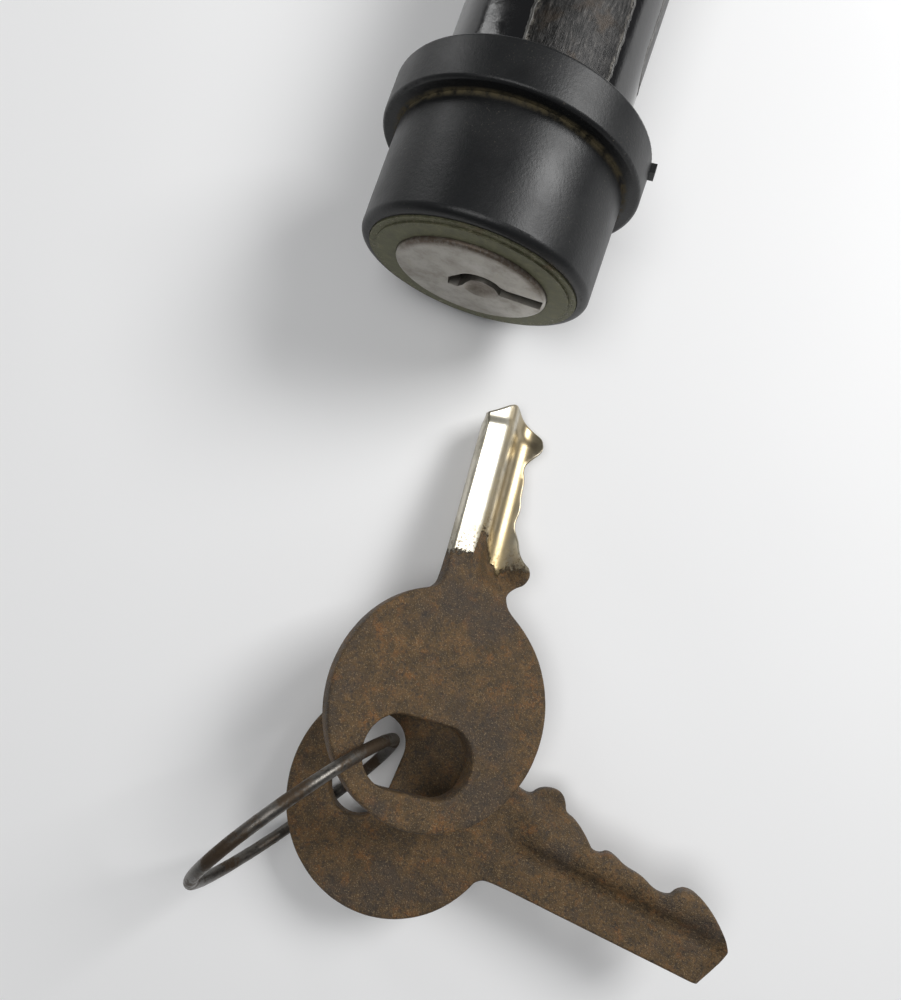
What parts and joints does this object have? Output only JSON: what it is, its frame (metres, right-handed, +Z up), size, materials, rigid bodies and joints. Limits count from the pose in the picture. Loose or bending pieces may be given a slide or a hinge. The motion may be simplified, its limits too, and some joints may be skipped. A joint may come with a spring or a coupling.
{
  "type": "parking barrier lock",
  "caption": "Key lock of a folding parking barrier: black flanged collar on a round lock pin with ball catch, wafer cylinder, and two rusty keys on a wire ring.",
  "frame": {"origin": "on the lock pin's axis, in the plane of the flange's rear face, which seats on the barrier", "axes": "+Y runs along the lock pin's axis, away from the key face; +Z is up, with the lock lying on its flange on a table and the keys on the same table in front of it; +X is to the right for someone who looks at the tube's end from the key face"},
  "size_m": [0.0547, 0.1218, 0.0246],
  "materials": {
    "collar_plastic": "moulded, fine grain",
    "black_coating": "glossy black coating, worn through in patches",
    "zinc": "die-cast zinc, dull olive grey",
    "nickel": "nickel plated, grimy",
    "steel": "plain",
    "nylon": "natural",
    "end_plastic": "moulded",
    "ball_chrome": "polished",
    "brass": "stamped",
    "ring_wire": "dark, tarnished",
    "rusty_key": "brown rust, with nickel plate left on one blade"
  },
  "bodies": {
    "barrel": {"collar": "collar_plastic", "lock_tube": "black_coating", "cylinder_housing": "zinc", "housing_pins": "steel", "shaft_bush": "nylon", "ball_cage": "steel", "end_cap": "end_plastic"},
    "plug": {"plug": "zinc", "face_cap": "nickel", "plug_clip": "steel", "drive_shaft": "steel", "ball_cam": "steel", "cam_screw": "steel", "wafer_spring_1": "steel", "wafer_spring_2": "steel", "wafer_spring_3": "steel", "wafer_spring_4": "steel", "wafer_spring_5": "steel"},
    "upper_ball": {"ball_upper": "ball_chrome"},
    "lower_ball": {"ball_lower": "ball_chrome"},
    "ring": {"key_ring": "ring_wire"},
    "second_key": {"key_2": "rusty_key"},
    "first_key": {"key_1": "rusty_key"},
    "wafer_1": {"wafer_1": "brass"},
    "wafer_2": {"wafer_2": "brass"},
    "wafer_3": {"wafer_3": "brass"},
    "wafer_4": {"wafer_4": "brass"},
    "wafer_5": {"wafer_5": "brass"}
  },
  "joints": [
    {"name": "plug_turn", "type": "hinge", "parent": "barrel", "child": "plug", "pos_m": [0, 0, 0], "axis": [0, 1, 0], "range_deg": [0, 90]},
    {"name": "upper_ball_slide", "type": "slide", "parent": "barrel", "child": "upper_ball", "axis": [0, 0, -1], "range_m": [0, 0.0013]},
    {"name": "lower_ball_slide", "type": "slide", "parent": "barrel", "child": "lower_ball", "axis": [0, 0, 1], "range_m": [0, 0.0013]},
    {"name": "wafer_1_slide", "type": "slide", "parent": "plug", "child": "wafer_1", "axis": [-1, 0, 0], "range_m": [0, 0.0005], "stiffness_N_per_m": 8, "springref_m": 0.0007, "deforming": ["wafer_spring_1"]},
    {"name": "wafer_2_slide", "type": "slide", "parent": "plug", "child": "wafer_2", "axis": [-1, 0, 0], "range_m": [0, 0.0005], "stiffness_N_per_m": 8, "springref_m": 0.0007, "deforming": ["wafer_spring_2"]},
    {"name": "wafer_3_slide", "type": "slide", "parent": "plug", "child": "wafer_3", "axis": [-1, 0, 0], "range_m": [0, 0.0005], "stiffness_N_per_m": 8, "springref_m": 0.0007, "deforming": ["wafer_spring_3"]},
    {"name": "wafer_4_slide", "type": "slide", "parent": "plug", "child": "wafer_4", "axis": [-1, 0, 0], "range_m": [0, 0.0005], "stiffness_N_per_m": 8, "springref_m": 0.0007, "deforming": ["wafer_spring_4"]},
    {"name": "wafer_5_slide", "type": "slide", "parent": "plug", "child": "wafer_5", "axis": [-1, 0, 0], "range_m": [0, 0.0005], "stiffness_N_per_m": 8, "springref_m": 0.0007, "deforming": ["wafer_spring_5"]},
    {"name": "ring_lift", "type": "slide", "parent": "barrel", "child": "ring", "axis": [0, 0, 1], "range_m": [0, 0.04]},
    {"name": "second_key_swing", "type": "hinge", "parent": "ring", "child": "second_key", "pos_m": [0.001, -0.0642, -0.00222], "axis": [0.7841, -0.5501, 0.2874], "range_deg": [0, 60]},
    {"name": "first_key_swing", "type": "hinge", "parent": "second_key", "child": "first_key", "pos_m": [0.001, -0.0642, -0.00222], "axis": [0.7841, -0.5501, 0.2874], "range_deg": [0, 60]}
  ],
  "couplings": [
    {"joint": "upper_ball_slide", "follows": "plug_turn", "m_per_rad": 0.00082761},
    {"joint": "lower_ball_slide", "follows": "plug_turn", "m_per_rad": 0.00082761}
  ]
}
